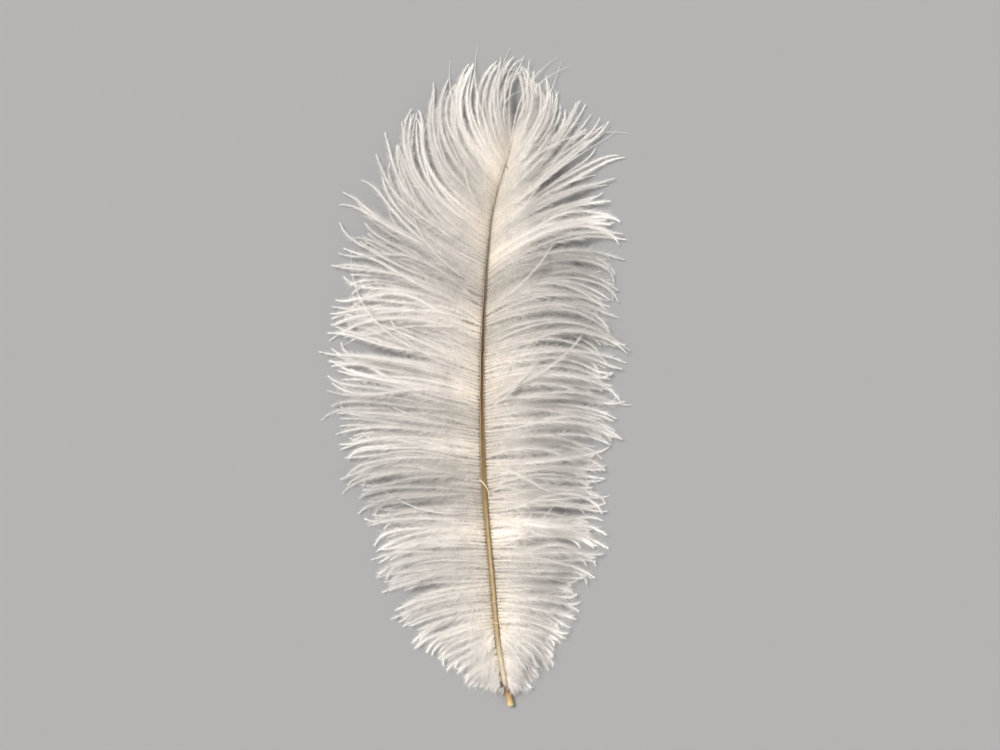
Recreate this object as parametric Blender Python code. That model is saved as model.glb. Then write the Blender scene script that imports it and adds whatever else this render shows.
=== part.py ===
"""An ostrich feather, lying flat: one curved shaft with a soft vane on each side of it.

Metres, +Z up, +Y from the quill to the tip. The origin is on the surface that the feather lies on,
under the middle of its box. Lengths below are in millimetres, angles in degrees.
"""
import math

import bmesh
import bpy

MM = 0.001

# The shaft: place along Y, then its sideways place, the height of its middle and its half width.
SHAFT_COURSE = (
    (-149.4, 13.0, 1.9, 1.40),    # cut end of the stub
    (-143.8, 11.8, 1.9, 1.35),
    (-141.6, 11.2, 2.1, 0.95),    # torn neck
    (-137.8, 10.2, 2.7, 1.20),
    (-117.0, 7.0, 6.0, 1.30),
    (-91.0, 4.7, 8.8, 1.35),
    (-50.0, 1.2, 11.4, 1.45),
    (-10.0, 0.0, 12.2, 1.35),
    (30.0, 0.9, 11.6, 1.05),
    (70.0, 4.1, 9.8, 0.50),
    (84.0, 6.9, 8.9, 0.42),
    (98.0, 11.2, 7.9, 0.32),
    (108.5, 13.9, 7.0, 0.20),     # tip
)
SHAFT_RINGS = 72
SHAFT_SIDES = 16
HEIGHT_TO_WIDTH = 1.15            # the shaft is a little taller than it is wide
GROOVE_START, GROOVE_FULL = -70.0, -20.0   # the groove on the upper side deepens between these places
GROOVE_DEPTH = 0.34               # as a share of the half width
GROOVE_HALF_ANGLE = 32.0

# The barbs stand on the shaft from the first one, by the quill, to the last one, at the tip.
FIRST_BARB, LAST_BARB = -132.0, 108.0
# Share of the way from first to last, length of a barb, and the angles above the crosswise
# direction at which it leaves the shaft and at which it ends.
LEFT_BARBS = (
    (0.00, 13.0, -45, -80), (0.05, 26.0, -8, -42), (0.12, 41.0, 3, -30), (0.25, 52.0, 7, -20),
    (0.40, 62.0, 11, -12), (0.55, 68.0, 20, -2), (0.70, 70.0, 30, 14), (0.80, 66.0, 38, 34),
    (0.88, 60.0, 46, 78), (0.95, 54.0, 57, 106), (1.00, 41.0, 82, 104),
)
RIGHT_BARBS = (
    (0.00, 12.5, -40, -75), (0.05, 25.0, -5, -45), (0.12, 37.0, 5, -30), (0.25, 50.0, 6, -15),
    (0.40, 58.0, 9, -18), (0.55, 66.0, 18, -30), (0.70, 70.0, 30, -45), (0.80, 69.0, 39, -30),
    (0.88, 61.0, 46, 2), (0.95, 48.0, 57, 42), (1.00, 36.0, 70, 62),
)
BEND_POWER = 1.5                  # above 1, a barb bends mostly towards its end

# Along a barb, from the shaft (0) to its end (1): height as a share of the shaft's, and thickness.
BARB_RISE = ((0.0, 1.0), (0.12, 1.2), (0.32, 1.5), (0.60, 1.1), (0.84, 0.18), (1.0, 0.0))
VANE_THICKNESS = ((0.0, 1.8), (0.35, 3.3), (0.75, 2.9), (1.0, 1.5))
VANE_ROWS = 52
VANE_COLUMNS = 12
GAP = 0.35                        # between a vane and the shaft


def smooth(stations, place):
    """Read the other columns of stations at a place in their first, on one smooth curve."""
    last = len(stations) - 1
    i = max(k for k in range(last) if k == 0 or stations[k][0] <= place)

    def slope(k, column):
        low, high = stations[max(k - 1, 0)], stations[min(k + 1, last)]
        return (high[column] - low[column]) / (high[0] - low[0])

    start, end = stations[i], stations[i + 1]
    span = end[0] - start[0]
    s = (place - start[0]) / span
    values = []
    for column in range(1, len(start)):
        values.append(
            (2 * s**3 - 3 * s**2 + 1) * start[column]
            + (s**3 - 2 * s**2 + s) * span * slope(i, column)
            + (3 * s**2 - 2 * s**3) * end[column]
            + (s**3 - s**2) * span * slope(i + 1, column)
        )
    return values


def smoothstep(low, high, value):
    s = min(max((value - low) / (high - low), 0.0), 1.0)
    return s * s * (3 - 2 * s)


def material(name, colour, roughness):
    """A plain Principled material, not metallic."""
    made = bpy.data.materials.new(name)
    made.use_nodes = True
    shader = made.node_tree.nodes["Principled BSDF"]
    shader.inputs["Base Color"].default_value = (*colour, 1.0)
    shader.inputs["Roughness"].default_value = roughness
    shader.inputs["Metallic"].default_value = 0.0
    return made


def add_object(name, bm, finish):
    """Turn a closed bmesh in millimetres into a named object in metres."""
    bmesh.ops.scale(bm, vec=(MM, MM, MM), verts=bm.verts)
    bmesh.ops.recalc_face_normals(bm, faces=bm.faces)
    mesh = bpy.data.meshes.new(name)
    bm.to_mesh(mesh)
    bm.free()
    mesh.shade_smooth()
    mesh.set_sharp_from_angle(angle=math.radians(50))
    mesh.materials.append(finish)
    bpy.context.collection.objects.link(bpy.data.objects.new(name, mesh))


def shaft_ring(bm, place):
    """One oval ring across the shaft, dented on top where the groove runs."""
    x, z, half_width = smooth(SHAFT_COURSE, place)
    depth = GROOVE_DEPTH * smoothstep(GROOVE_START, GROOVE_FULL, place)
    ring = []
    for side in range(SHAFT_SIDES):
        turn = math.tau * side / SHAFT_SIDES
        from_top = math.degrees(turn) - 90.0
        dent = 1.0 - depth * math.exp(-((from_top / GROOVE_HALF_ANGLE) ** 2))
        across = half_width * dent * math.cos(turn)
        up = half_width * dent * HEIGHT_TO_WIDTH * math.sin(turn)
        ring.append(bm.verts.new((x + across, place, z + up)))
    return ring


def build_shaft(finish):
    bm = bmesh.new()
    start, end = SHAFT_COURSE[0][0], SHAFT_COURSE[-1][0]
    places = [start + (end - start) * (i / SHAFT_RINGS) for i in range(SHAFT_RINGS + 1)]
    rings = [shaft_ring(bm, place) for place in places]
    for low, high in zip(rings, rings[1:]):
        for k in range(SHAFT_SIDES):
            after = (k + 1) % SHAFT_SIDES
            bm.faces.new((low[k], low[after], high[after], high[k]))
    bm.faces.new(rings[0])
    bm.faces.new(rings[-1])
    add_object("shaft", bm, finish)


def barb_path(side, barbs, share):
    """Plan points of one barb, from beside the shaft to its end, with the shaft's height there."""
    place = FIRST_BARB + (LAST_BARB - FIRST_BARB) * share
    x, height, half_width = smooth(SHAFT_COURSE, place)
    length, leave, arrive = smooth(barbs, share)
    point = [x + side * (half_width + GAP), place]
    points = [tuple(point)]
    for k in range(VANE_COLUMNS):
        middle = (k + 0.5) / VANE_COLUMNS
        angle = math.radians(leave + (arrive - leave) * middle**BEND_POWER)
        point[0] += side * math.cos(angle) * length / VANE_COLUMNS
        point[1] += math.sin(angle) * length / VANE_COLUMNS
        points.append(tuple(point))
    return points, height


def build_vane(name, side, barbs, finish):
    """A thin arched body: it leaves the shaft, rises, and comes down to lie flat at its edge."""
    bm = bmesh.new()
    upper, under = [], []
    for row in range(VANE_ROWS + 1):
        points, height = barb_path(side, barbs, row / VANE_ROWS)
        upper_row, under_row = [], []
        for k, (x, y) in enumerate(points):
            along = k / VANE_COLUMNS
            middle = height * smooth(BARB_RISE, along)[0]
            thickness = smooth(VANE_THICKNESS, along)[0]
            low = max(middle - thickness / 2, 0.0)
            upper_row.append(bm.verts.new((x, y, low + thickness)))
            under_row.append(bm.verts.new((x, y, low)))
        upper.append(upper_row)
        under.append(under_row)
    for row in range(VANE_ROWS):
        for k in range(VANE_COLUMNS):
            for grid in (upper, under):
                bm.faces.new((grid[row][k], grid[row][k + 1], grid[row + 1][k + 1], grid[row + 1][k]))
        for k in (0, VANE_COLUMNS):
            bm.faces.new((upper[row][k], upper[row + 1][k], under[row + 1][k], under[row][k]))
    for k in range(VANE_COLUMNS):
        for row in (0, VANE_ROWS):
            bm.faces.new((upper[row][k], upper[row][k + 1], under[row][k + 1], under[row][k]))
    add_object(name, bm, finish)


def main():
    for old in list(bpy.data.objects):
        bpy.data.objects.remove(old)
    horn = material("tan horn", (0.52, 0.38, 0.20), 0.45)
    down = material("white down", (0.86, 0.84, 0.80), 0.90)
    build_shaft(horn)
    build_vane("left_vane", -1, LEFT_BARBS, down)
    build_vane("right_vane", 1, RIGHT_BARBS, down)


main()
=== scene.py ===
"""A white ostrich feather lying flat, seen from above: a curved shaft with two fringes of fluffy barbs.

Lengths are in millimetres and angles in degrees until a mesh is made, which is in metres.
"""

import math

import bmesh
import bpy
import numpy as np
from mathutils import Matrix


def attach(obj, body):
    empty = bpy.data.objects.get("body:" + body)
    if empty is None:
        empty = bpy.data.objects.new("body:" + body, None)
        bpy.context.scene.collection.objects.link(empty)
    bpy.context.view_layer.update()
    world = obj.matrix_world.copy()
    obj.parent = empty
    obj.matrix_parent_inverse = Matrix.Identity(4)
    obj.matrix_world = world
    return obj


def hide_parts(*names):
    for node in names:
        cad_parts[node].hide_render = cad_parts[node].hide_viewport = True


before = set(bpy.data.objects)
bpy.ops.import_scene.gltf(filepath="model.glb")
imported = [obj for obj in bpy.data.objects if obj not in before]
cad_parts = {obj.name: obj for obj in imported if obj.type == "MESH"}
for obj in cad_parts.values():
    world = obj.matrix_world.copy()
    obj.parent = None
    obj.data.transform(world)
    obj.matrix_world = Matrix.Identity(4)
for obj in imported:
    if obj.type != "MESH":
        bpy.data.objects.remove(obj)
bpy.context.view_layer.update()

MM = 0.001
BODY = "root"
SHAFT_SEED, LEFT_SEED, RIGHT_SEED = 5, 11, 12

# ---------------------------------------------------------------------------------------------
# The feather's layout, close to that of the solids in the frame

# The shaft: place along Y, then its sideways place, the height of its middle and its half width.
SHAFT_COURSE = np.array((
    (-149.4, 13.0, 1.9, 1.40),    # cut end of the stub
    (-143.8, 11.8, 1.9, 1.35),
    (-141.6, 11.2, 2.1, 0.95),    # torn neck
    (-137.8, 10.2, 2.7, 1.20),
    (-117.0, 7.0, 6.0, 1.30),
    (-91.0, 4.7, 8.8, 1.35),
    (-50.0, 1.2, 11.4, 1.45),
    (-10.0, 0.0, 12.2, 1.35),
    (30.0, 0.9, 11.6, 1.05),
    (70.0, 4.1, 9.8, 0.50),
    (84.0, 6.9, 8.9, 0.42),
    (98.0, 11.2, 7.9, 0.32),
    (108.5, 13.9, 7.0, 0.20),     # tip
))
FIRST_BARB, LAST_BARB = -132.0, 108.0

# Share of the way from the first barb to the last, a barb's length, and the angles above the
# crosswise direction at which it leaves the shaft and at which it ends.
LEFT_BARBS = np.array((
    (0.00, 13.5, -48, -84), (0.05, 27.0, -16, -56), (0.12, 44.0, -1, -40), (0.25, 52.0, 5, -28),
    (0.40, 64.0, 9, -14), (0.55, 72.0, 19, 2), (0.66, 71.0, 26, 2), (0.71, 72.0, 27, 24),
    (0.76, 76.0, 28, 70), (0.82, 76.0, 31, 100), (0.88, 67.0, 38, 118), (0.95, 54.0, 55, 128),
    (1.00, 41.0, 80, 140),
))
RIGHT_BARBS = np.array((
    (0.00, 14.5, -38, -74), (0.05, 26.0, -8, -50), (0.12, 37.0, 2, -36), (0.25, 50.0, 6, -22),
    (0.40, 58.0, 9, -22), (0.55, 66.0, 18, -32), (0.70, 66.0, 30, -42), (0.80, 69.0, 37, 6),
    (0.86, 64.0, 40, 58), (0.91, 57.0, 43, 84), (0.96, 48.0, 53, 104), (1.00, 38.0, 72, 114),
))
BEND_POWER = 1.6                  # above 1, a barb bends mostly towards its end
ROOT_INSET = 0.72                 # a barb's root stands this share of the half width off the middle
# Along a barb, from the shaft (0) to its end (1): its height, as a share of the shaft's.
BARB_RISE = np.array(((0.0, 1.0), (0.12, 1.2), (0.32, 1.5), (0.60, 1.1), (0.84, 0.18), (1.0, 0.0)))

BARBS_A_SIDE = 250
ROOTS_A_SIDE = 160                # some barbs share a root
STEPS = 22                        # straight pieces along one barb
ALONG = np.linspace(0, 1, STEPS + 1)
MIDDLE = (np.arange(STEPS) + 0.5) / STEPS

# Stray barbs: place on the shaft, length, angle at the start and at the end, height above the vane
# and length of the down on them.
LEFT_STRAYS = (
    # across the vane
    (6, 88, 8, 92, 3.0, 1.6), (2, 68, 14, 84, 3.5, 1.3), (-22, 58, 4, 40, 2.5, 1.5),
    (40, 62, 30, 96, 3.0, 1.2), (-60, 52, -4, 34, 2.5, 1.5), (70, 46, 52, 128, 3.0, 1.0),
    (22, 66, 6, -30, 2.5, 1.4), (-40, 60, 22, -36, 3.0, 1.2), (-84, 44, 14, -40, 2.5, 1.6),
    # at the tip
    (97, 58, 62, 110, 0.5, 1.6), (101, 52, 74, 118, 0.5, 1.4), (104, 45, 78, 132, 0.5, 1.4),
    (88, 64, 52, 96, 0.5, 1.6), (108, 30, 60, 176, 3.0, 1.2),
    # wisps at the torn neck
    (-141.0, 4.5, -30, -80, 0.5, 1.6), (-141.4, 4.0, -10, -64, 0.5, 1.4),
    (-141.6, 4.2, -52, -90, 0.5, 1.6),
)
RIGHT_STRAYS = (
    # a loose tuft over the middle of the vane
    (-12, 52, 30, 88, 4.5, 3.2), (-9, 66, 20, 66, 4.2, 2.8), (-15, 46, 34, 80, 4.1, 2.8),
    # across the vane
    (-78, 46, 28, 66, 3.5, 1.2), (30, 60, 34, 74, 3.0, 1.3), (14, 66, 30, -38, 2.5, 1.4),
    (-50, 52, 26, -42, 3.0, 1.3), (-96, 34, 20, -60, 2.5, 1.6), (62, 58, 42, 84, 3.0, 1.2),
    # at the tip
    (86, 68, 44, -12, 0.5, 1.4), (90, 62, 56, 70, 0.5, 1.4), (70, 72, 40, 30, 0.5, 1.4),
    (104, 50, 84, 34, 0.5, 1.4), (107, 46, 76, 18, 1.5, 1.3),
)


def smooth(stations, places):
    """Read the other columns of stations at places in their first, on one smooth curve."""
    x = stations[:, 0]
    last = len(x) - 1
    every = np.arange(last + 1)
    low, high = np.maximum(every - 1, 0), np.minimum(every + 1, last)
    slopes = (stations[high] - stations[low]) / (x[high] - x[low])[:, None]
    places = np.asarray(places, float)
    i = np.clip(np.searchsorted(x, places, side="right") - 1, 0, last - 1)
    span = (x[i + 1] - x[i])[..., None]
    s = (places - x[i])[..., None] / span
    read = (
        (2 * s**3 - 3 * s**2 + 1) * stations[i]
        + (s**3 - 2 * s**2 + s) * span * slopes[i]
        + (3 * s**2 - 2 * s**3) * stations[i + 1]
        + (s**3 - s**2) * span * slopes[i + 1]
    )
    return np.moveaxis(read[..., 1:], -1, 0)


def ease(low, high, value):
    """Go from 0 at low to 1 at high, gently at both ends."""
    s = np.clip((value - low) / (high - low), 0, 1)
    return s * s * (3 - 2 * s)


# ---------------------------------------------------------------------------------------------
# Node tree helpers


def feed(tree, socket, value):
    """Link a socket to another one, or give it a value of its own."""
    if isinstance(value, bpy.types.NodeSocket):
        tree.links.new(value, socket)
    else:
        socket.default_value = value


def add_node(tree, kind, inputs=None, **settings):
    """Add a node; inputs maps a socket's name or number to a value or to a socket to link."""
    node = tree.nodes.new(kind)
    for name, value in settings.items():
        setattr(node, name, value)
    for key, value in (inputs or {}).items():
        feed(tree, node.inputs[key], value)
    return node


def maths(tree, operation, *values):
    return add_node(tree, "ShaderNodeMath", dict(enumerate(values)), operation=operation).outputs[0]


def vector_maths(tree, operation, *values):
    inputs = dict(enumerate(values))
    if operation == "SCALE":
        inputs = {0: values[0], "Scale": values[1]}
    return add_node(tree, "ShaderNodeVectorMath", inputs, operation=operation).outputs[0]


def vector(tree, x, y, z=0.0):
    return add_node(tree, "ShaderNodeCombineXYZ", {"X": x, "Y": y, "Z": z}).outputs[0]


def attribute(tree, name):
    """A number that the geometry carries, inside a geometry tree."""
    node = add_node(tree, "GeometryNodeInputNamedAttribute", {"Name": name}, data_type="FLOAT")
    return node.outputs["Attribute"]


def position(tree):
    """Where each point of the geometry is, as a node with an output for X, Y and Z."""
    place = add_node(tree, "GeometryNodeInputPosition").outputs[0]
    return add_node(tree, "ShaderNodeSeparateXYZ", {0: place})


def store(tree, geometry, name, value, kind="FLOAT", domain="POINT"):
    inputs = {"Geometry": geometry, "Name": name, "Value": value}
    kind_of = {"data_type": kind, "domain": domain}
    return add_node(tree, "GeometryNodeStoreNamedAttribute", inputs, **kind_of).outputs["Geometry"]


def scatter(tree, low, high, seed, offset):
    """A number for each element between low and high, from the tree's seed and an offset of its own."""
    node = add_node(tree, "FunctionNodeRandomValue", data_type="FLOAT")
    values = {"Min": low, "Max": high, "Seed": maths(tree, "ADD", seed, float(offset))}
    for socket in node.inputs:
        if socket.enabled and socket.name in values:
            feed(tree, socket, values[socket.name])
    return next(socket for socket in node.outputs if socket.enabled)


def new_tree(name, sockets):
    """A geometry tree with a Geometry input and output and the named inputs."""
    tree = bpy.data.node_groups.new(name, "GeometryNodeTree")
    tree.interface.new_socket("Geometry", in_out="INPUT", socket_type="NodeSocketGeometry")
    for label, kind, value in sockets:
        socket = tree.interface.new_socket(label, in_out="INPUT", socket_type=kind)
        if value is not None:
            socket.default_value = value
    tree.interface.new_socket("Geometry", in_out="OUTPUT", socket_type="NodeSocketGeometry")
    return tree, tree.nodes.new("NodeGroupInput").outputs


def grow(tree, guides, name, values):
    """Run a tree on a guide object and keep the result as a plain mesh object."""
    modifier = guides.modifiers.new("grow", "NODES")
    modifier.node_group = tree
    for item in tree.interface.items_tree:
        if item.item_type == "SOCKET" and item.in_out == "INPUT" and item.name in values:
            modifier[item.identifier] = values[item.name]
    ready = guides.evaluated_get(bpy.context.evaluated_depsgraph_get())
    mesh = bpy.data.meshes.new_from_object(ready)
    mesh.name = name
    mesh.materials.clear()
    mesh.materials.append(values["Material"])
    mesh.polygons.foreach_set("material_index", np.zeros(len(mesh.polygons), np.int32))
    piece = bpy.data.objects.new(name, mesh)
    bpy.context.collection.objects.link(piece)
    guides.modifiers.remove(modifier)
    bpy.data.objects.remove(guides)
    return piece


# ---------------------------------------------------------------------------------------------
# The tree that grows barbs: each guide is a line, with numbers along it

# Metres and degrees. A barbule's length is the guide's "fluff" times a number that starts at
# Shortest and is up to Stretch more. Lowest is the least height of any point.
BARB_SOCKETS = (
    ("Spacing", "NodeSocketFloat", 0.000040),
    ("Width", "NodeSocketFloat", 0.000085),
    ("Shortest", "NodeSocketFloat", 0.25),
    ("Stretch", "NodeSocketFloat", 1.45),
    ("Lean low", "NodeSocketFloat", 14.0),
    ("Lean high", "NodeSocketFloat", 80.0),
    ("Splay", "NodeSocketFloat", 60.0),
    ("Lowest", "NodeSocketFloat", 0.0002),
    ("Seed", "NodeSocketFloat", 1.0),
    ("Material", "NodeSocketMaterial", None),
)
EDGE_ON_MAP = 0.002               # how wide a barbule's root is on the baking map
ROW_FILL = 0.45                   # how much of its row on that map a barb takes, each way


def grow_stems(tree, curve):
    """A three-sided tube along each guide, as thick as its "stem" says."""
    section = add_node(tree, "GeometryNodeCurvePrimitiveCircle", {"Resolution": 3, "Radius": 1.0})
    swept = {
        "Curve": curve,
        "Profile Curve": section.outputs[0],
        "Scale": attribute(tree, "stem"),
        "Fill Caps": True,
    }
    stems = add_node(tree, "GeometryNodeCurveToMesh", swept).outputs[0]
    stems = store(tree, stems, "tip", 0.0)
    return store(tree, stems, "edge", 0.0)


def barbule_blade(tree):
    """A triangle with a root 1 wide and a tip 1 away along X. Its points keep both as numbers."""
    blade = add_node(tree, "GeometryNodeMeshCircle", {"Vertices": 3, "Radius": 1.0}, fill_type="NGON")
    shape = {
        "Geometry": blade.outputs[0],
        "Translation": (1 / 3, 0, 0),
        "Scale": (2 / 3, 1 / math.sqrt(3), 1),
    }
    blade = add_node(tree, "GeometryNodeTransform", shape).outputs[0]
    place = position(tree)
    blade = store(tree, blade, "tip", place.outputs["X"])
    return store(tree, blade, "edge", place.outputs["Y"])


def barbule_turn(tree, given, dots, side):
    """The turn of each barbule: along its barb, out to its side, and a little up or down."""
    lean = scatter(tree, given["Lean low"], given["Lean high"], given["Seed"], 1)
    lean = maths(tree, "RADIANS", maths(tree, "MULTIPLY", lean, attribute(tree, "spread")))
    splay = scatter(tree, -1.0, 1.0, given["Seed"], 2)
    splay = maths(tree, "RADIANS", maths(tree, "MULTIPLY", given["Splay"], splay))
    ahead = dots.outputs["Tangent"]
    across = vector_maths(tree, "SCALE", dots.outputs["Normal"], side)
    up = vector_maths(tree, "CROSS_PRODUCT", ahead, across)
    leaning_out = maths(tree, "SINE", lean)
    out = maths(tree, "MULTIPLY", leaning_out, maths(tree, "COSINE", splay))
    lift = maths(tree, "MULTIPLY", leaning_out, maths(tree, "SINE", splay))
    heading = vector_maths(tree, "SCALE", ahead, maths(tree, "COSINE", lean))
    for direction, amount in ((across, out), (up, lift)):
        heading = vector_maths(tree, "ADD", heading, vector_maths(tree, "SCALE", direction, amount))
    axes = {"Primary Axis": heading, "Secondary Axis": up}
    names = {"primary_axis": "X", "secondary_axis": "Z"}
    return add_node(tree, "FunctionNodeAxesToRotation", axes, **names).outputs[0]


def grow_barbules(tree, given, curve):
    """Blades at even steps along each guide, on its two sides by turns."""
    stepped = {"Curve": curve, "Length": given["Spacing"]}
    dots = add_node(tree, "GeometryNodeCurveToPoints", stepped, mode="LENGTH")
    index = add_node(tree, "GeometryNodeInputIndex").outputs[0]
    side = maths(tree, "MULTIPLY_ADD", maths(tree, "MODULO", index, 2.0), 2.0, -1.0)
    reach = maths(tree, "POWER", scatter(tree, 0.0, 1.0, given["Seed"], 3), 2.0)
    reach = maths(tree, "MULTIPLY_ADD", reach, given["Stretch"], given["Shortest"])
    length = maths(tree, "MULTIPLY", attribute(tree, "fluff"), reach)
    placed = {
        "Points": dots.outputs["Points"],
        "Instance": barbule_blade(tree),
        "Rotation": barbule_turn(tree, given, dots, side),
        "Scale": vector(tree, length, given["Width"], 1.0),
    }
    grown = add_node(tree, "GeometryNodeInstanceOnPoints", placed).outputs[0]
    grown = store(tree, grown, "side", side, domain="INSTANCE")
    return add_node(tree, "GeometryNodeRealizeInstances", {0: grown}).outputs[0]


def lay_on_map(tree, mesh):
    """The map for baking: a row for each barb, with its barbules above and below the row's middle."""
    u = maths(tree, "MULTIPLY_ADD", attribute(tree, "edge"), EDGE_ON_MAP, attribute(tree, "along"))
    v = maths(tree, "MULTIPLY", attribute(tree, "side"), attribute(tree, "tip"))
    v = maths(tree, "MULTIPLY_ADD", v, attribute(tree, "row_height"), attribute(tree, "row"))
    return store(tree, mesh, "OFBake", vector(tree, u, v), "FLOAT2", "CORNER")


def keep_above(tree, mesh, lowest):
    """Nothing goes down into the surface that the feather lies on."""
    place = position(tree).outputs
    height = maths(tree, "MAXIMUM", place["Z"], lowest)
    moved = {"Geometry": mesh, "Position": vector(tree, place["X"], place["Y"], height)}
    return add_node(tree, "GeometryNodeSetPosition", moved).outputs[0]


def barb_tree():
    """Each guide gets a thin stem, and barbules that lean along it on both sides."""
    tree, given = new_tree("Barbs", BARB_SOCKETS)
    curve = add_node(tree, "GeometryNodeMeshToCurve", {"Mesh": given["Geometry"]}).outputs[0]
    curve = add_node(tree, "GeometryNodeSetCurveNormal", {"Curve": curve}, mode="Z_UP").outputs[0]
    joined = add_node(tree, "GeometryNodeJoinGeometry")
    for grown in (grow_stems(tree, curve), grow_barbules(tree, given, curve)):
        tree.links.new(grown, joined.inputs[0])
    mesh = lay_on_map(tree, joined.outputs[0])
    mesh = keep_above(tree, mesh, given["Lowest"])
    dressed = {"Geometry": mesh, "Material": given["Material"]}
    dressed = add_node(tree, "GeometryNodeSetMaterial", dressed).outputs[0]
    realized = add_node(tree, "GeometryNodeRealizeInstances", {0: dressed}).outputs[0]
    tree.links.new(realized, add_node(tree, "NodeGroupOutput").inputs[0])
    return tree


# ---------------------------------------------------------------------------------------------
# The guides: lines for all the barbs of a side

# How a vane's barbs differ. A drift is shared by neighbours: the barbs to a swing, then its spread.
ROOT_JITTER = 0.12                # in steps from root to root
LENGTH_DRIFT, LENGTH_RANGE = (7, 0.03), (0.80, 1.06)
LEAVE_DRIFT, LEAVE_SPREAD = (10, 1.5), 1.5
ARRIVE_DRIFT, ARRIVE_SPREAD = (9, 5.0), 9.0
SWAY, SWAYS = 5.625, (0.5, 1.3)   # how far a barb's direction sways, and how often along it
CURL, CURL_START = 34.0, 0.78     # the curl of its end, and the share of it where that starts
RUFFLE, RUFFLE_REACH = 1.4, 0.09  # how much more unruly a ruffled place is, and its share of a vane
LEFT_RUFFLED, RIGHT_RUFFLED = 0.63, 0.33           # where that place is, as a share of the way

# Tufts: barbs that lie together. Near the tip they cling more closely, as strands.
TUFT_SIZES = (1, 6)               # from the first up to one below the second
TUFT_PULL, STRAND_PULL = (0.0, 0.4), 0.3
TUFT_PULL_START, STRAND_PULL_START = 0.5, 0.2
STRANDS_BEGIN = (0.76, 0.84)      # shares of the way along the vane

# How much less the barbules lean out: tuft by tuft past the root, and at the end of a barb.
HUG, END_HUG = (0.10, 0.62), 0.15
HUG_GROWS, END_HUG_GROWS = (0.2, 0.55), (0.70, 1.0)          # shares of the way along a barb

# Heights of a vane's barbs, the first two as shares of what BARB_RISE gives, and then the shares
# of the way along a barb between which each lift comes or goes.
TUFT_LIFT, BARB_LIFT = (-0.42, 0.12), (-0.16, 0.10)
ROOT_LIFT, END_LIFT = 0.6, (0.0, 3.0)
LEAST_HEIGHT = (0.5, 1.7)
LIFT_GROWS, ROOT_LIFT_GOES, END_LIFT_GROWS = (0.05, 0.5), (0.0, 0.2), (0.6, 1.0)

# Length of the barbules on a vane: at the root, where they are full, and what a strand adds.
ROOT_FLUFF, FULL_FLUFF, STRAND_FLUFF = 2.7, 5.6, 1.6
FLUFF_RANGE = (0.8, 1.15)
FLUFF_FILLS, STRAND_FLUFF_GOES = (0.0, 0.3), (0.02, 0.3)     # shares of the way along a barb
# They get shorter: evenly along a barb, near its end, along a strand, and on the last barbs.
FLUFF_TAPER = 0.35
END_LOSS, END_THINS = 0.7, (0.84, 1.0)
STRAND_LOSS, STRAND_THINS = 0.3, (0.1, 0.4)
LAST_LOSS, LAST_THINS = 0.5, (0.975, 1.0)                    # shares of the way along the vane

TONE_DRIFT = (8, 1.0)             # neighbours are brighter or darker together
LOW_TONE, LOW_TONE_GOES = 0.5, (0.05, 0.25)                  # the vane is brighter by the quill

# The short soft barbs round the quill: how many, and where. The first few of them lie over it.
QUILL_BARBS, QUILL_PLACES = 62, (-139.0, -112.0)
OVER_QUILL, OVER_PLACES = 6, (-121.0, -115.0)
QUILL_SHORTEST, QUILL_LONGEST = 7.5, {-1: 20.0, 1: 26.0}    # on the left and on the right
QUILL_LENGTH_RANGE = (0.65, 1.15)
QUILL_LEAVE, QUILL_LEAVE_RISE = (-60, -20), 12     # the rise is from the first place to the last
QUILL_BEND, QUILL_SWAY = (8, 34), 8
QUILL_TUFT, QUILL_PULL, QUILL_PULL_START = 3, (0.3, 0.8), 0.45
QUILL_ASIDE, OVER_ASIDE = (0.2, 1.4), (0.0, 0.6)   # away from the quill, and back over it
QUILL_BOW, QUILL_DROOP = (0.5, 3.5), 0.75          # up half way along, and down at the end
QUILL_LIFT, OVER_LIFT = 0.8, 2.4
QUILL_FLUFF, OVER_FLUFF = 3.6, 1.05                # the second is a share of the first
QUILL_FLUFF_FILLS, QUILL_LOSS, QUILL_THINS = (-0.1, 0.3), 0.9, (0.35, 0.95)
QUILL_HUG, QUILL_HUG_GROWS = 0.75, (0.3, 0.85)
QUILL_TONES = (1.0, 2.0)

STRAY_SWAY, STRAY_LEAST_HEIGHT = 3.0, 1.0
STRAY_LIFT_GROWS, STRAY_FLUFF_FILLS = (0.05, 0.4), (0.0, 0.1)
STRAY_FULL, STRAY_LOSS, STRAY_THINS = 0.85, 0.75, (0.6, 0.95)
STRAY_TONE, STRAY_SPREAD = 0.2, 0.75

# Radius of a barb's stem at the shaft, and what it loses by its end.
STEM_AT_ROOT, OVER_STEM = 0.14, 0.35               # the second is a share of the first
VANE_TAPER, QUILL_TAPER, STRAY_TAPER = 0.10, 0.05, 0.09

# Each side's barbs are kept as pieces along the shaft, from each share of them up to the next.
PIECES = (("quill", 0.0), ("lower", 0.25), ("middle", 0.44), ("upper", 0.63), ("tip", 0.82))


def wander(rng, count, every, spread):
    """A number for each barb that drifts up and down between neighbours, about one swing in so many."""
    knots = rng.normal(0, spread, count // every + 2)
    return np.interp(np.arange(count), np.arange(len(knots)) * every, knots)


def lay_out(side, place, length, leave, arrive, swing):
    """Plan points of barbs that start beside the shaft; swing is added to the angle along each."""
    root_x, _, half_width = smooth(SHAFT_COURSE, place)
    angle = leave[:, None] + (arrive - leave)[:, None] * MIDDLE**BEND_POWER + swing
    angle = np.radians(angle)
    step = np.stack([side * np.cos(angle), np.sin(angle)], -1) * (length / STEPS)[:, None, None]
    plan = np.concatenate([np.zeros((len(place), 1, 2)), np.cumsum(step, 1)], 1)
    return plan + np.stack([root_x + side * ROOT_INSET * half_width, place], -1)[:, None]


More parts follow.
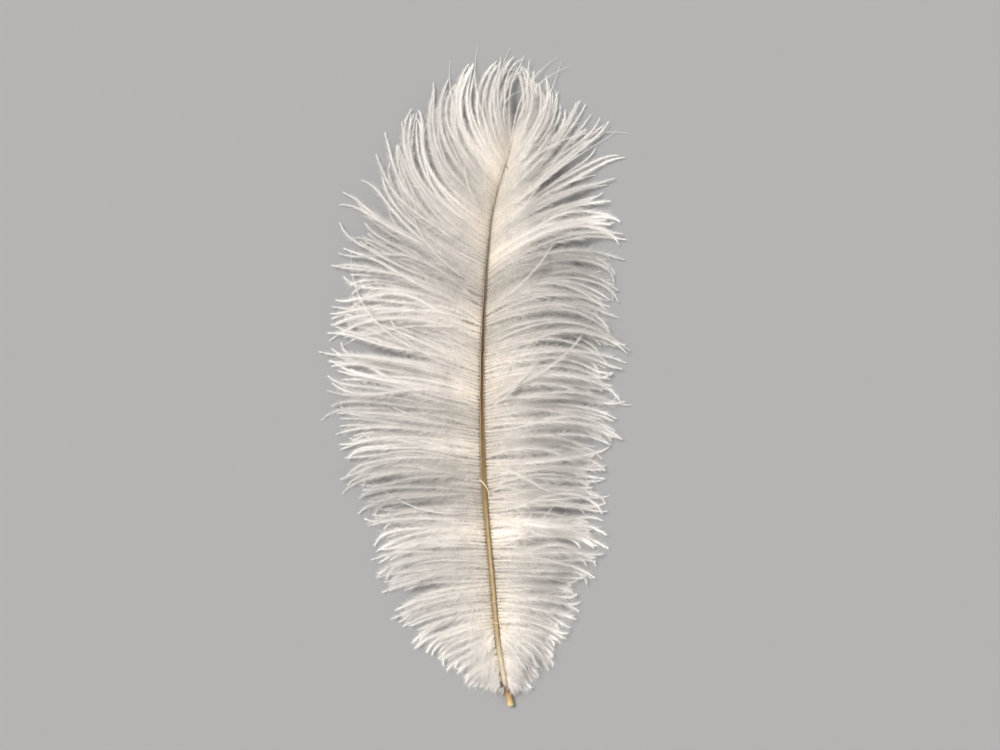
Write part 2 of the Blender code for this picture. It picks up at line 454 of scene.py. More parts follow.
def draw_together(plan, tuft, pull):
    """Move the barbs of each tuft towards their common middle, by a share given along each."""
    members = np.bincount(tuft)
    middle = [
        [np.bincount(tuft, plan[:, k, axis]) / members for k in range(plan.shape[1])]
        for axis in (0, 1)
    ]
    middle = np.transpose(middle, (2, 1, 0))[tuft]
    return plan + (middle - plan) * pull[..., None]


def with_height(plan, height):
    return np.concatenate([plan, height[..., None]], -1)


def vane_roots(rng):
    """Where a vane's barbs stand, as shares of the way along it: evenly, with some sharing a root."""
    share = np.round(np.arange(BARBS_A_SIDE) * ROOTS_A_SIDE / BARBS_A_SIDE)
    share = share + rng.uniform(-ROOT_JITTER, ROOT_JITTER, BARBS_A_SIDE)
    return (share / ROOTS_A_SIDE).clip(0, 1)


def vane_plan(side, barbs, ruffled, share, place, rng):
    """Plan points of a vane's barbs, each with its own waver, and more of it in the ruffled place."""
    count = len(share)
    length, leave, arrive = smooth(barbs, share)
    length = length * (1 + wander(rng, count, *LENGTH_DRIFT)) * rng.uniform(*LENGTH_RANGE, count)
    leave = leave + wander(rng, count, *LEAVE_DRIFT) + rng.normal(0, LEAVE_SPREAD, count)
    wild = 1 + RUFFLE * np.exp(-(((share - ruffled) / RUFFLE_REACH) ** 2))
    arrive = arrive + wander(rng, count, *ARRIVE_DRIFT)
    arrive = arrive + rng.normal(0, ARRIVE_SPREAD, count) * np.sqrt(wild)
    sway = rng.normal(0, SWAY, (count, 1)) * wild[:, None]
    turns = rng.uniform(*SWAYS, (count, 1)) * MIDDLE + rng.uniform(0, 1, (count, 1))
    sway = sway * np.sin(math.tau * turns)
    near_end = np.maximum(MIDDLE - CURL_START, 0) / (1 - CURL_START)
    curl = rng.normal(0, CURL, (count, 1)) * near_end**2
    return lay_out(side, place, length, leave, arrive, sway + curl)


def vane_heights(place, tuft, rng):
    """Heights along a vane's barbs: over and down to the surface, each tuft at its own level."""
    count = len(place)
    root_z = smooth(SHAFT_COURSE, place)[1]
    lift = rng.uniform(*TUFT_LIFT, tuft.max() + 1)[tuft] + rng.uniform(*BARB_LIFT, count)
    height = root_z[:, None] * smooth(BARB_RISE, ALONG)[0]
    height *= 1 + lift[:, None] * ease(*LIFT_GROWS, ALONG)
    height += ROOT_LIFT * (1 - ease(*ROOT_LIFT_GOES, ALONG))
    height += rng.uniform(*END_LIFT, (count, 1)) * ease(*END_LIFT_GROWS, ALONG)
    return np.maximum(height, rng.uniform(*LEAST_HEIGHT, (count, 1)))


def vane_fluff(share, strand):
    """Length of the barbules along a vane's barbs: short at the ends, and at the tip of the vane."""
    fluff = ROOT_FLUFF + (FULL_FLUFF - ROOT_FLUFF) * ease(*FLUFF_FILLS, ALONG)
    fluff = fluff * (1 - FLUFF_TAPER * ALONG) * (1 - END_LOSS * ease(*END_THINS, ALONG))
    fluff = fluff * (1 - STRAND_LOSS * strand * ease(*STRAND_THINS, ALONG))
    fluff = fluff + STRAND_FLUFF * strand * (1 - ease(*STRAND_FLUFF_GOES, ALONG))
    return fluff * (1 - LAST_LOSS * ease(*LAST_THINS, share))[:, None]


def vane_barbs(side, barbs, ruffled, rng):
    """The ordinary barbs of one side, evenly along the shaft, in loose tufts, unruly in one place."""
    count = BARBS_A_SIDE
    share = vane_roots(rng)
    place = FIRST_BARB + (LAST_BARB - FIRST_BARB) * share
    plan = vane_plan(side, barbs, ruffled, share, place, rng)

    tuft = np.repeat(np.arange(count), rng.integers(*TUFT_SIZES, count))[:count]
    tufts = tuft.max() + 1
    strand = ease(*STRANDS_BEGIN, share)[:, None]
    pull = rng.uniform(*TUFT_PULL, tufts)[tuft][:, None] + STRAND_PULL * strand
    pull_start = TUFT_PULL_START + (STRAND_PULL_START - TUFT_PULL_START) * strand
    plan = draw_together(plan, tuft, pull * ease(pull_start, 1.0, ALONG))

    height = vane_heights(place, tuft, rng)
    hug = rng.uniform(*HUG, tufts)[tuft][:, None]
    tone = rng.uniform(0, 1, count) + wander(rng, count, *TONE_DRIFT)
    tone = tone + LOW_TONE * (1 - ease(*LOW_TONE_GOES, share))
    return {
        "points": with_height(plan, height),
        "fluff": vane_fluff(share, strand) * rng.uniform(*FLUFF_RANGE, (count, 1)),
        "stem": np.tile(STEM_AT_ROOT - VANE_TAPER * ALONG, (count, 1)),
        "tone": np.tile(tone[:, None], STEPS + 1),
        "spread": 1 - hug * ease(*HUG_GROWS, ALONG) - END_HUG * ease(*END_HUG_GROWS, ALONG),
    }


def quill_down(side, rng):
    """Short soft barbs that fan down beside the quill, and a few that lie over it."""
    count, over = QUILL_BARBS, OVER_QUILL
    place = rng.uniform(*QUILL_PLACES, count)
    place[:over] = rng.uniform(*OVER_PLACES, over)
    root_z = smooth(SHAFT_COURSE, place)[1]
    above = (place - QUILL_PLACES[0]) / (QUILL_PLACES[1] - QUILL_PLACES[0])
    length = QUILL_SHORTEST + (QUILL_LONGEST[side] - QUILL_SHORTEST) * above
    length = length * rng.uniform(*QUILL_LENGTH_RANGE, count)
    leave = rng.uniform(*QUILL_LEAVE, count) + QUILL_LEAVE_RISE * above
    arrive = leave - rng.uniform(*QUILL_BEND, count)
    sway = rng.normal(0, QUILL_SWAY, (count, 1)) * MIDDLE
    plan = lay_out(side, place, length, leave, arrive, sway)
    tuft = np.argsort(np.argsort(place)) // QUILL_TUFT
    pull = rng.uniform(*QUILL_PULL, (count, 1)) * ease(QUILL_PULL_START, 1.0, ALONG)
    plan = draw_together(plan, tuft, pull)
    plan[..., 0] += side * rng.uniform(*QUILL_ASIDE, (count, 1))
    plan[:over, :, 0] -= side * rng.uniform(*OVER_ASIDE, (over, 1))

    bow = np.sin(math.pi * ALONG) * rng.uniform(*QUILL_BOW, (count, 1))
    height = root_z[:, None] * (1 - QUILL_DROOP * ALONG) + bow + QUILL_LIFT
    height[:over] += OVER_LIFT * (1 - ALONG)
    fluff = QUILL_FLUFF * ease(*QUILL_FLUFF_FILLS, ALONG) * (1 - QUILL_LOSS * ease(*QUILL_THINS, ALONG))
    fluff = np.tile(fluff, (count, 1))
    fluff[:over] *= OVER_FLUFF
    stem = np.tile(STEM_AT_ROOT - QUILL_TAPER * ALONG, (count, 1))
    stem[:over] *= OVER_STEM
    return {
        "points": with_height(plan, height),
        "fluff": fluff,
        "stem": stem,
        "tone": np.tile(rng.uniform(*QUILL_TONES, (count, 1)), STEPS + 1),
        "spread": np.tile(1 - QUILL_HUG * ease(*QUILL_HUG_GROWS, ALONG), (count, 1)),
    }


def stray_barbs(side, strays, rng):
    """Nearly bare barbs that lie over the vane, across the others, or stand out past its edge."""
    place, length, leave, arrive, lift, down = np.array(strays, float).T
    count = len(place)
    root_z = smooth(SHAFT_COURSE, place)[1]
    sway = rng.normal(0, STRAY_SWAY, (count, 1)) * MIDDLE
    plan = lay_out(side, place, length, leave, arrive, sway)
    height = root_z[:, None] * smooth(BARB_RISE, ALONG)[0]
    height = height + lift[:, None] * ease(*STRAY_LIFT_GROWS, ALONG)
    fluff = down[:, None] * ease(*STRAY_FLUFF_FILLS, ALONG)
    fluff = fluff * (STRAY_FULL - STRAY_LOSS * ease(*STRAY_THINS, ALONG))
    return {
        "points": with_height(plan, np.maximum(height, STRAY_LEAST_HEIGHT)),
        "fluff": fluff,
        "stem": np.tile(STEM_AT_ROOT - STRAY_TAPER * ALONG, (count, 1)),
        "tone": np.full((count, STEPS + 1), STRAY_TONE),
        "spread": np.full((count, STEPS + 1), STRAY_SPREAD),
    }


def guide_object(points, numbers):
    """An object whose mesh is one polyline for each barb, with its numbers as attributes."""
    count, stops = points.shape[:2]
    mesh = bpy.data.meshes.new("guides")
    mesh.vertices.add(count * stops)
    mesh.vertices.foreach_set("co", (points * MM).astype(np.float32).ravel())
    start = (np.arange(count)[:, None] * stops + np.arange(stops - 1)).ravel()
    mesh.edges.add(len(start))
    mesh.edges.foreach_set("vertices", np.stack([start, start + 1], 1).astype(np.int32).ravel())
    for name, values in numbers.items():
        layer = mesh.attributes.new(name, "FLOAT", "POINT")
        values = np.broadcast_to(values, (count, stops))
        layer.data.foreach_set("value", values.astype(np.float32).ravel())
    guides = bpy.data.objects.new("guides", mesh)
    bpy.context.collection.objects.link(guides)
    return guides


def build_barbs(tree, side_name, side, barbs, ruffled, strays, seed, down):
    """All the barbs of a side, in pieces from the quill to the tip."""
    rng = np.random.default_rng(seed)
    groups = (
        vane_barbs(side, barbs, ruffled, rng),
        quill_down(side, rng),
        stray_barbs(side, strays, rng),
    )
    lines = {key: np.concatenate([group[key] for group in groups]) for key in groups[0]}
    order = np.argsort(lines["points"][:, 0, 1])
    lines = {key: values[order] for key, values in lines.items()}
    starts = [round(len(order) * share) for _, share in PIECES]
    for (part, _), low, high in zip(PIECES, starts, starts[1:] + [len(order)]):
        some = slice(low, high)
        count = high - low
        numbers = {
            "along": ALONG[None],
            "stem": lines["stem"][some] * MM,
            "fluff": lines["fluff"][some] * MM,
            "tone": lines["tone"][some],
            "spread": lines["spread"][some],
            "row": (np.arange(count)[:, None] + 0.5) / count,
            "row_height": np.full((1, 1), ROW_FILL / count),
            "side": np.zeros((1, 1)),
        }
        guides = guide_object(lines["points"][some], numbers)
        values = {"Seed": float(seed * 10 + low), "Material": down}
        piece = grow(tree, guides, f"{side_name}_barbs_{part}", values)
        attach(piece, BODY)
        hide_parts(f"{side_name}_vane")


# ---------------------------------------------------------------------------------------------
# Shaft: one grooved horn, with the torn neck and the cut stub below it

# Place along Y, half width and how far the top stands above the solid's course.
SHAFT_WIDTHS = np.array((
    (-150.2, 1.42, 0.2), (-149.4, 1.60, 0.2), (-143.9, 1.54, 0.2), (-142.4, 1.28, 0.1),
    (-141.5, 0.85, 0.0), (-140.2, 1.05, 0.1), (-137.8, 1.25, 0.2), (-117.0, 1.22, 0.8),
    (-91.0, 1.15, 1.0), (-75.0, 1.12, 1.0), (-50.0, 1.20, 1.0), (-36.0, 1.12, 1.0),
    (-10.0, 0.96, 1.0), (13.0, 0.82, 1.0), (30.0, 0.68, 1.1), (62.0, 0.40, 1.4),
    (84.0, 0.30, 1.8), (98.0, 0.24, 2.2), (108.5, 0.14, 2.2),
))
SHAFT_RINGS = 420
SHAFT_SIDES = 24
HEIGHT_TO_WIDTH = 1.15            # the shaft is a little taller than it is wide
END_SHARE = 0.05                  # what is left of the width at its two rounded ends
KNOTS = 90                        # the places where its width and its course waver
WIDTH_WAVER, COURSE_WAVER = 0.03, 0.06
GROOVE_DEPTH, GROOVE_ANGLE = 0.50, 0.55            # as a share of the half width, and in radians
GROOVE_DEEPENS, GROOVE_FADES = (-90, -20), (60, 100)
GROOVE_LOST = 0.6                 # the share of its depth that it loses where it fades
TORN_PLACE, TORN_REACH, TORN_RAGGED = -141.6, 0.9, 0.16
UNDER_SIDE = -0.2                 # below this height round the shaft, its colour is the ridges'

# Bits of barb on the shaft: corners, radius, and the place on the shaft whose colour they have.
CREAM, DARK = 0.042, 0.948
BITS = (
    # a thick barb that has snapped off across the shaft
    (((-1.2, -45.6, 13.6), (0.4, -46.6, 14.4), (2.2, -49.0, 14.6), (3.9, -52.6, 14.0)), 0.50, CREAM),
    # fine ones that cross it
    (((-4.0, -67.4, 11.5), (1.5, -67.0, 13.2), (6.5, -65.6, 11.8)), 0.16, CREAM),
    (((-1.0, -100.2, 9.6), (5.0, -101.2, 10.9), (11.0, -100.0, 9.8)), 0.18, CREAM),
    (((1.0, -108.6, 9.0), (6.2, -110.6, 9.9), (12.0, -112.6, 8.6)), 0.26, CREAM),
    (((0.5, -111.8, 8.8), (6.6, -111.0, 9.8), (11.0, -111.6, 8.8)), 0.16, CREAM),
    # a dark kink near the tip
    (((10.4, 96.9, 9.9), (11.5, 95.6, 10.2), (11.9, 93.8, 10.1)), 0.42, DARK),
)
BIT_RINGS = 13
BIT_SIDES = 8
BIT_TAPER = 0.55


def turns_round(sides):
    return np.arange(sides) * math.tau / sides


def add_tube(parts, rings, course, across):
    """Add a closed tube to the parts: its rings of points, its faces and caps, and its colour numbers."""
    count, sides = rings.shape[:2]
    start = sum(len(points) for points, _, _ in parts)
    ring_start = start + np.arange(count - 1)[:, None] * sides
    a = ring_start + np.arange(sides)
    b = ring_start + (np.arange(sides) + 1) % sides
    faces = np.stack([a, b, b + sides, a + sides], -1).reshape(-1, 4).tolist()
    faces.append([start + k for k in reversed(range(sides))])
    faces.append([start + (count - 1) * sides + k for k in range(sides)])
    numbers = np.stack([np.broadcast_to(values, (count, sides)) for values in (course, across)], -1)
    parts.append((rings.reshape(-1, 3), faces, numbers.reshape(-1, 2)))


def shaft_rings(place, turn, rng):
    """Points round the shaft: the groove on top, the ragged neck, and the rounded ends."""
    root_x, root_z, _ = smooth(SHAFT_COURSE, place)
    half_width, raised = smooth(SHAFT_WIDTHS, place)
    knots = np.linspace(place[0], place[-1], KNOTS)
    half_width = half_width * (1 + np.interp(place, knots, rng.normal(0, WIDTH_WAVER, KNOTS)))
    root_x = root_x + np.interp(place, knots, rng.normal(0, COURSE_WAVER, KNOTS))

    depth = GROOVE_DEPTH * ease(*GROOVE_DEEPENS, place) * (1 - GROOVE_LOST * ease(*GROOVE_FADES, place))
    from_top = (turn + math.pi / 2) % math.tau - math.pi
    dent = 1 - depth[:, None] * np.exp(-((from_top / GROOVE_ANGLE) ** 2))
    torn = np.exp(-(((place - TORN_PLACE) / TORN_REACH) ** 2))[:, None]
    dent = dent * (1 + torn * rng.normal(0, TORN_RAGGED, (1, len(turn))))
    dent[0], dent[-1] = END_SHARE, END_SHARE

    centres = np.stack([root_x, place, root_z + raised], 1)
    rings = np.repeat(centres[:, None], len(turn), 1)
    rings[..., 0] += half_width[:, None] * dent * np.cos(turn)
    rings[..., 2] += half_width[:, None] * HEIGHT_TO_WIDTH * dent * np.sin(turn)
    return rings


def bit_rings(corners, radius):
    """Points round a thin tube that runs through the corners and tapers."""
    corners = np.array(corners, float)
    along = np.linspace(0, 1, BIT_RINGS)
    corners_along = np.linspace(0, 1, len(corners))
    line = np.stack([np.interp(along, corners_along, column) for column in corners.T], 1)
    line[1:-1] = (line[:-2] + 2 * line[1:-1] + line[2:]) / 4
    ahead = np.gradient(line, axis=0)[:, :2]
    ahead /= np.linalg.norm(ahead, axis=1)[:, None]
    turn = turns_round(BIT_SIDES)
    thick = radius * (1 - BIT_TAPER * along)[:, None]
    rings = np.repeat(line[:, None], BIT_SIDES, 1)
    rings[..., 0] += thick * np.cos(turn) * ahead[:, 1:]
    rings[..., 1] -= thick * np.cos(turn) * ahead[:, :1]
    rings[..., 2] += thick * np.sin(turn)
    return rings


def build_shaft(horn):
    """The shaft and the bits of barb on it, as one piece."""
    start, end = SHAFT_WIDTHS[0, 0], SHAFT_WIDTHS[-1, 0]
    place = np.linspace(start, end, SHAFT_RINGS + 1)
    turn = turns_round(SHAFT_SIDES)
    rings = shaft_rings(place, turn, np.random.default_rng(SHAFT_SEED))
    across = np.where(np.sin(turn) > UNDER_SIDE, np.cos(turn), np.sign(np.cos(turn)))
    parts = []
    add_tube(parts, rings, ((place - start) / (end - start))[:, None], across)
    for corners, radius, course in BITS:
        add_tube(parts, bit_rings(corners, radius), course, 0.0)

    mesh = bpy.data.meshes.new("shaft_horn")
    points = np.concatenate([part[0] for part in parts]) * MM
    mesh.from_pydata(points.tolist(), [], [face for part in parts for face in part[1]])
    numbers = np.concatenate([part[2] for part in parts]).astype(np.float32)
    for name, values in zip(("course", "across"), numbers.T):
        mesh.attributes.new(name, "FLOAT", "POINT").data.foreach_set("value", values)
    bm = bmesh.new()
    bm.from_mesh(mesh)
    bmesh.ops.recalc_face_normals(bm, faces=bm.faces)
    bm.to_mesh(mesh)
    bm.free()
    mesh.shade_smooth()
    mesh.materials.append(horn)
    piece = bpy.data.objects.new("shaft_horn", mesh)
    bpy.context.collection.objects.link(piece)
    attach(piece, BODY)
    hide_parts("shaft")


# ---------------------------------------------------------------------------------------------
# Finishes


def new_material(name):
    made = bpy.data.materials.new(name)
    made.use_nodes = True
    return made, made.node_tree, made.node_tree.nodes["Principled BSDF"]


def new_group(name, inputs, output):
    """A shader group with the named number inputs and one number as its output."""
    tree = bpy.data.node_groups.new(name, "ShaderNodeTree")
    for label, value in inputs:
        socket = tree.interface.new_socket(label, in_out="INPUT", socket_type="NodeSocketFloat")
        socket.default_value = value
    tree.interface.new_socket(output, in_out="OUTPUT", socket_type="NodeSocketFloat")
    return tree, tree.nodes.new("NodeGroupInput").outputs


def mottle_group():
    """A slow mottle over the object, for more than one finish: gives a value from 0 to 1."""
    tree, given = new_group("Mottle", (("Scale", 300.0),), "Value")
    place = add_node(tree, "ShaderNodeTexCoord").outputs["Object"]
    noise = {"Vector": place, "Scale": given["Scale"], "Detail": 3.0, "Roughness": 0.6}
    value = add_node(tree, "ShaderNodeTexNoise", noise).outputs["Fac"]
    stretched = {"Value": value, "From Min": 0.3, "From Max": 0.7}
    value = add_node(tree, "ShaderNodeMapRange", stretched).outputs[0]
    tree.links.new(value, add_node(tree, "NodeGroupOutput").inputs[0])
    return tree


def grain_group():
    """Fine lines that run along a surface, from its own two numbers: gives a height from 0 to 1."""
    inputs = (("Along", 0.0), ("Across", 0.0), ("Lines", 9.0), ("Breaks", 60.0))
    tree, given = new_group("Grain", inputs, "Height")
    across = maths(tree, "MULTIPLY", given["Across"], given["Lines"])
    along = maths(tree, "MULTIPLY", given["Along"], given["Breaks"])
    noise = {"Vector": vector(tree, across, along), "Scale": 1.0, "Detail": 4.0, "Roughness": 0.65}
    height = add_node(tree, "ShaderNodeTexNoise", noise).outputs["Fac"]
    tree.links.new(height, add_node(tree, "NodeGroupOutput").inputs[0])
    return tree


def mottled(tree, group, scale):
    return add_node(tree, "ShaderNodeGroup", {"Scale": scale}, node_tree=group).outputs["Value"]


def grained(tree, group, along, across, lines, breaks):
    inputs = {"Along": along, "Across": across, "Lines": lines, "Breaks": breaks}
    return add_node(tree, "ShaderNodeGroup", inputs, node_tree=group).outputs["Height"]


def carried(tree, name):
    """A number that the piece carries as an attribute, inside a material."""
    return add_node(tree, "ShaderNodeAttribute", attribute_name=name).outputs["Fac"]


def ramp(tree, factor, stops):
    """A colour ramp with a stop for each (position, colour)."""
    node = add_node(tree, "ShaderNodeValToRGB", {"Fac": factor})
    elements = node.color_ramp.elements
    elements.remove(elements[1])
    for k, (place, colour) in enumerate(stops):
        element = elements[0] if k == 0 else elements.new(place)
        element.position = place
        element.color = (*colour, 1)
    return node.outputs["Color"]


def step_up(tree, value, low, high):
    inputs = {"Value": value, "From Min": low, "From Max": high}
    return add_node(tree, "ShaderNodeMapRange", inputs, interpolation_type="SMOOTHSTEP").outputs[0]


def step_down(tree, value, low, high):
    return maths(tree, "SUBTRACT", 1.0, step_up(tree, value, low, high))


def mix(tree, factor, first, second):
    """A blend of two colours. A Mix node set to colours has its sockets under these numbers."""
    return add_node(tree, "ShaderNodeMix", {0: factor, 6: first, 7: second}, data_type="RGBA").outputs[2]


# Along a barb, from the shaft (0) to its end (1).
DOWN_COLOURS = (
    (0.0, (0.74, 0.65, 0.54)),
    (0.018, (0.91, 0.84, 0.75)),
    (0.16, (0.93, 0.88, 0.82)),
    (0.42, (0.80, 0.765, 0.725)),
    (0.72, (0.80, 0.768, 0.735)),
    (1.0, (0.92, 0.895, 0.865)),
)
# How bright the down is, and what a barb's tone, a barbule's tip, the mottle and the streaks add; the
# dark streaks are painted shade of the gaps between tufts.
DOWN_SHADE = 0.63
DOWN_TONE, DOWN_TIP, DOWN_MOTTLE, DOWN_STREAKS_AND_GAP_SHADE = 0.10, -0.16, 0.05, 0.56
DOWN_ROUGHNESS, DOWN_STREAK_ROUGHNESS = 0.65, 0.2
DOWN_SPECULAR = 0.25


def down_material(mottle, grain):
    """White down: creamy at the shaft and greyer half way along a barb, with streaks that are partly
    painted shade between tufts, and dull tips.
    """
    made, tree, shader = new_material("white down")
    along, tone = carried(tree, "along"), carried(tree, "tone")
    # streaks in the down, the dark ones painted shade of the gaps between tufts
    streaks_and_gap_shade = grained(tree, grain, along, tone, lines=40.0, breaks=14.0)
    shade = maths(tree, "MULTIPLY_ADD", tone, DOWN_TONE, DOWN_SHADE)
    shade = maths(tree, "MULTIPLY_ADD", carried(tree, "tip"), DOWN_TIP, shade)
    shade = maths(tree, "MULTIPLY_ADD", mottled(tree, mottle, scale=160.0), DOWN_MOTTLE, shade)
    shade = maths(tree, "MULTIPLY_ADD", streaks_and_gap_shade, DOWN_STREAKS_AND_GAP_SHADE, shade)
    colour = vector_maths(tree, "SCALE", ramp(tree, along, DOWN_COLOURS), shade)
    roughness = maths(tree, "MULTIPLY_ADD", streaks_and_gap_shade, DOWN_STREAK_ROUGHNESS, DOWN_ROUGHNESS)
    feed(tree, shader.inputs["Base Color"], colour)
    feed(tree, shader.inputs["Roughness"], roughness)
    feed(tree, shader.inputs["Specular IOR Level"], DOWN_SPECULAR)
    return made


# Along the shaft, from the cut end of the stub (0) to the tip (1): in its groove, and on its ridges. The
# groove's brown carries painted shade, darkest where the groove is deep, and the lower shaft's sides
# carry painted shade.
GROOVE_COLOURS_AND_SHADE = (
    (0.000, (0.74, 0.62, 0.38)),     # stub
    (0.008, (0.60, 0.43, 0.20)),
    (0.024, (0.40, 0.24, 0.09)),
    (0.029, (0.12, 0.04, 0.02)),     # torn neck
    (0.034, (0.22, 0.09, 0.04)),
    (0.040, (0.66, 0.57, 0.42)),     # pale quill
    (0.075, (0.60, 0.51, 0.36)),
    (0.115, (0.50, 0.41, 0.27)),
    (0.140, (0.40, 0.29, 0.13)),     # brown, darker towards the middle with painted shade in the groove
    (0.29, (0.34, 0.24, 0.11)),
    (0.42, (0.21, 0.135, 0.05)),
    (0.54, (0.105, 0.058, 0.018)),
    (0.63, (0.060, 0.030, 0.011)),
    (0.754, (0.10, 0.062, 0.035)),   # paler again
    (0.85, (0.16, 0.12, 0.085)),
    (0.942, (0.18, 0.14, 0.10)),
    (0.948, (0.05, 0.03, 0.02)),     # the dark kink
    (0.954, (0.18, 0.14, 0.10)),
    (1.0, (0.36, 0.30, 0.23)),
)
RIDGE_COLOURS_AND_SIDE_SHADE = (
    (0.000, (0.74, 0.62, 0.38)),     # stub
    (0.008, (0.50, 0.34, 0.14)),
    (0.024, (0.32, 0.18, 0.07)),
    (0.029, (0.10, 0.035, 0.02)),    # torn neck
    (0.034, (0.18, 0.07, 0.03)),
    (0.040, (0.56, 0.48, 0.34)),     # pale quill
    (0.075, (0.50, 0.42, 0.29)),
    (0.115, (0.44, 0.35, 0.22)),
    (0.140, (0.27, 0.18, 0.07)),     # brown sides: painted shade on the flanks of the round lower shaft
    (0.36, (0.30, 0.21, 0.09)),
    (0.46, (0.46, 0.35, 0.21)),      # cream ridges
    (0.56, (0.60, 0.48, 0.34)),
    (0.76, (0.58, 0.47, 0.35)),
    (0.84, (0.26, 0.20, 0.14)),      # they end, and the tip is dull brown
)
RIDGES = (0.60, 0.95)                # where the ridges, and lower down the sides with their painted shade, begin, across the shaft
# A painted highlight: a pale stripe runs up the lower part of the shaft, a little right of its middle.
HIGHLIGHT_COLOUR, HIGHLIGHT_STRENGTH = (0.47, 0.38, 0.24, 1), 0.8
HIGHLIGHT_OFFSET, HIGHLIGHT_EDGE = 0.12, (0.10, 0.42)
HIGHLIGHT_BEGINS, HIGHLIGHT_ENDS = (0.10, 0.14), (0.28, 0.40)
# How bright the horn is, and what its mottle and its grain add.
HORN_SHADE, HORN_MOTTLE, HORN_GRAIN = 0.72, 0.26, 0.28
HORN_ROUGHNESS, HORN_GRAIN_ROUGHNESS = 0.38, 0.25
HORN_BUMP_STRENGTH, HORN_BUMP_DEPTH = 0.35, 0.0003    # the depth is in metres
HORN_SPECULAR = 0.22


def painted_highlight(tree, course, across):
    """How strongly the painted highlight, a pale stripe, shows, from 0 to 1."""
    off_middle = maths(tree, "ABSOLUTE", maths(tree, "ADD", across, -HIGHLIGHT_OFFSET))
    highlight = step_down(tree, off_middle, *HIGHLIGHT_EDGE)
    begins, ends = step_up(tree, course, *HIGHLIGHT_BEGINS), step_down(tree, course, *HIGHLIGHT_ENDS)
    highlight = maths(tree, "MULTIPLY", highlight, maths(tree, "MULTIPLY", begins, ends))
    return maths(tree, "MULTIPLY", highlight, HIGHLIGHT_STRENGTH)


def horn_material(mottle, grain):
    """Horn: brown in the groove and darkened there with painted shade, cream on its ridges, painted shade
    on the sides and a painted highlight low down, paler at the quill, dark red where it tore.
    """
    made, tree, shader = new_material("shaft horn")
    course, across = carried(tree, "course"), carried(tree, "across")
    # painted shade: darker in the deep groove and on the sides of the lower shaft
    groove_and_shade, ridge_and_side_shade = ramp(tree, course, GROOVE_COLOURS_AND_SHADE), ramp(tree, course, RIDGE_COLOURS_AND_SIDE_SHADE)
    colour = mix(tree, step_up(tree, maths(tree, "ABSOLUTE", across), *RIDGES), groove_and_shade, ridge_and_side_shade)
    # painted highlight: a pale stripe up the lower part of the shaft
    colour = mix(tree, painted_highlight(tree, course, across), colour, HIGHLIGHT_COLOUR)
    lines = grained(tree, grain, course, across, lines=7.0, breaks=90.0)
    mottle_here = mottled(tree, mottle, scale=420.0)
    shade = maths(tree, "MULTIPLY_ADD", mottle_here, HORN_MOTTLE, HORN_SHADE)
    shade = maths(tree, "MULTIPLY_ADD", lines, HORN_GRAIN, shade)
    roughness = maths(tree, "MULTIPLY_ADD", lines, HORN_GRAIN_ROUGHNESS, HORN_ROUGHNESS)
    bump = {"Height": lines, "Strength": HORN_BUMP_STRENGTH, "Distance": HORN_BUMP_DEPTH}
    feed(tree, shader.inputs["Base Color"], vector_maths(tree, "SCALE", colour, shade))
    feed(tree, shader.inputs["Roughness"], roughness)
    feed(tree, shader.inputs["Normal"], add_node(tree, "ShaderNodeBump", bump).outputs[0])
    feed(tree, shader.inputs["Specular IOR Level"], HORN_SPECULAR)
    return made


FLOOR_COLOUR, FLOOR_ROUGHNESS = (0.310, 0.307, 0.310, 1), 0.9


def floor_material():
    made, tree, shader = new_material("plain floor")
    feed(tree, shader.inputs["Base Color"], FLOOR_COLOUR)
    feed(tree, shader.inputs["Roughness"], FLOOR_ROUGHNESS)
    return made


# ---------------------------------------------------------------------------------------------
# Studio, in metres

FLOOR_SIZE = 40.0                 # far enough to fill a view from low down
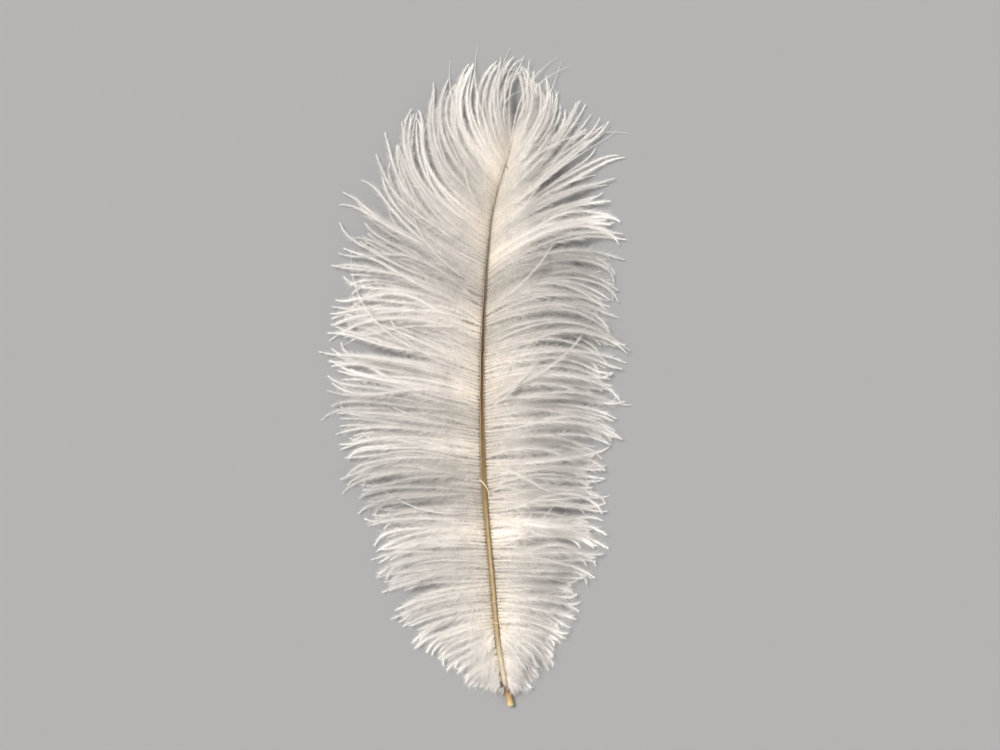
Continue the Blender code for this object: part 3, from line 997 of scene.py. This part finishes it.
# Direction that the light comes from, how wide it looks in degrees, strength and colour.
KEY_LIGHT = ((-0.45, 0.40, 0.95), 26.0, 3.35, (1.0, 0.98, 0.95))
FILL_LIGHT = ((0.8, -0.5, 0.9), 60.0, 0.7, (1.0, 0.99, 0.98))
SKY_COLOUR, SKY_STRENGTH = (0.77, 0.765, 0.76, 1), 0.52
LENS = 55.0                       # millimetres
VIEW_WIDTH, VIEW_HEIGHT = 0.456, 0.005    # the width that is seen, at this height over the surface
VIEW_MIDDLE = (0.0082, 0.0016)


def build_floor():
    mesh = bpy.data.meshes.new("floor")
    bm = bmesh.new()
    bmesh.ops.create_grid(bm, x_segments=1, y_segments=1, size=FLOOR_SIZE)
    bm.to_mesh(mesh)
    bm.free()
    mesh.materials.append(floor_material())
    floor = bpy.data.objects.new("floor", mesh)
    bpy.context.collection.objects.link(floor)


def add_light(name, place, width, strength, colour):
    """A soft light from far away in the direction of place, so the floor is lit evenly."""
    data = bpy.data.lights.new(name, "SUN")
    data.angle = math.radians(width)
    data.energy = strength
    data.color = colour
    light = bpy.data.objects.new(name, data)
    light.location = place
    bpy.context.collection.objects.link(light)
    aim = light.location * -1
    light.rotation_euler = aim.to_track_quat("-Z", "Y").to_euler()


def add_sky():
    world = bpy.data.worlds.new("studio")
    world.use_nodes = True
    background = world.node_tree.nodes["Background"].inputs
    feed(world.node_tree, background["Color"], SKY_COLOUR)
    feed(world.node_tree, background["Strength"], SKY_STRENGTH)
    bpy.context.scene.world = world


def add_camera():
    """A camera that looks straight down."""
    data = bpy.data.cameras.new("camera")
    data.lens = LENS
    camera = bpy.data.objects.new("camera", data)
    camera.location = (*VIEW_MIDDLE, VIEW_HEIGHT + VIEW_WIDTH * LENS / data.sensor_width)
    bpy.context.collection.objects.link(camera)
    bpy.context.scene.camera = camera


def build_studio():
    build_floor()
    add_light("key", *KEY_LIGHT)
    add_light("fill", *FILL_LIGHT)
    add_sky()
    add_camera()
    bpy.context.scene.view_settings.view_transform = "Standard"


def main():
    mottle, grain = mottle_group(), grain_group()
    down = down_material(mottle, grain)
    build_shaft(horn_material(mottle, grain))
    tree = barb_tree()
    build_barbs(tree, "left", -1, LEFT_BARBS, LEFT_RUFFLED, LEFT_STRAYS, LEFT_SEED, down)
    build_barbs(tree, "right", 1, RIGHT_BARBS, RIGHT_RUFFLED, RIGHT_STRAYS, RIGHT_SEED, down)
    build_studio()


main()
